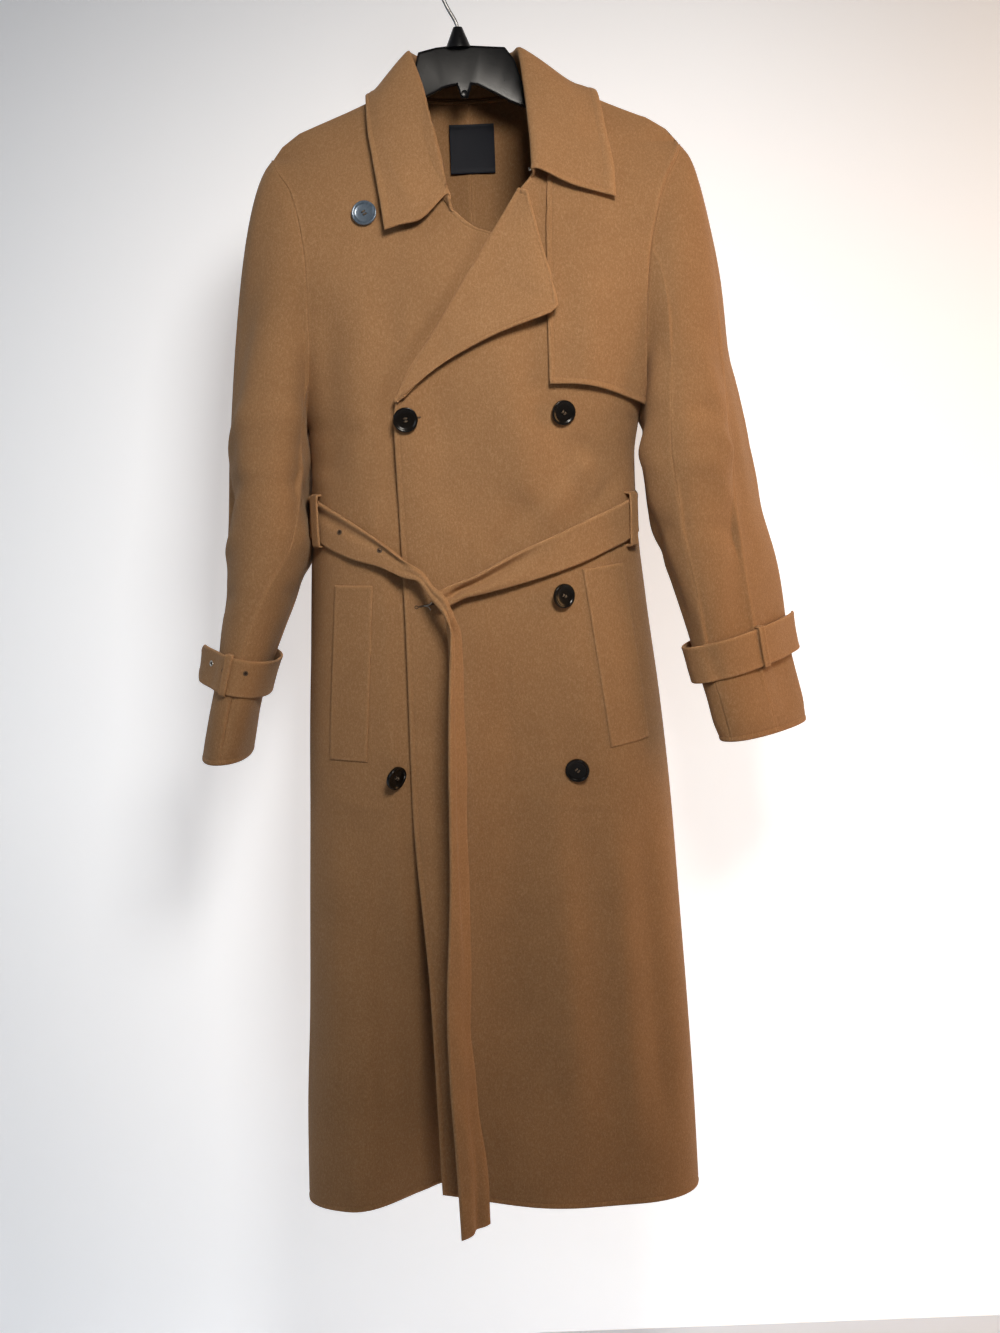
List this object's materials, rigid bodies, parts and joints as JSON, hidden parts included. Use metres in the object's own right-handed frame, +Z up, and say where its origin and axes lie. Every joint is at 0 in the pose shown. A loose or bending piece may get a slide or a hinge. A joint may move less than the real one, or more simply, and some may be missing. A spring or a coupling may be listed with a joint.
{
  "type": "trench coat on a hanger",
  "caption": "Long belted wool trench coat with a wide collar, gun flap, cuff straps and a knotted belt, hanging open-necked from a plastic hanger with a steel hook.",
  "frame": {"origin": "top of the hanger hook's inner curve, where it rests on a rail", "axes": "+Z up, the coat's front faces -Y, +X towards the wearer's left"},
  "size_m": [0.6477, 0.2013, 1.3397],
  "materials": {
    "wool": "double-faced felted camel wool",
    "label_tape": "plain woven satin tape",
    "button_black": "polished",
    "button_slate": "pearly",
    "hanger_plastic": "moulded satin",
    "steel": "plated wire"
  },
  "bodies": {
    "root": {"hanger_body": "hanger_plastic", "hanger_hook": "steel", "front_left": "wool", "front_right": "wool", "back_left": "wool", "back_right": "wool", "sleeve_right_front": "wool", "sleeve_right_back": "wool", "sleeve_left_front": "wool", "sleeve_left_back": "wool", "cuff_strap_right": "wool", "cuff_strap_loop_right": "wool", "cuff_strap_left": "wool", "cuff_strap_loop_left": "wool", "collar": "wool", "lapel_left": "wool", "gun_flap": "wool", "pocket_welt_right": "wool", "pocket_welt_left": "wool", "belt_back": "wool", "belt_right_arm": "wool", "belt_left_arm": "wool", "belt_knot": "wool", "belt_tail": "wool", "belt_loop_right": "wool", "belt_loop_left": "wool", "label": "label_tape", "collar_hook": "steel", "collar_eye": "steel", "button_top_right": "button_black", "button_top_left": "button_black", "button_middle_left": "button_black", "button_low_left": "button_black", "button_low_right": "button_black", "button_shoulder": "button_slate"}
  },
  "joints": []
}
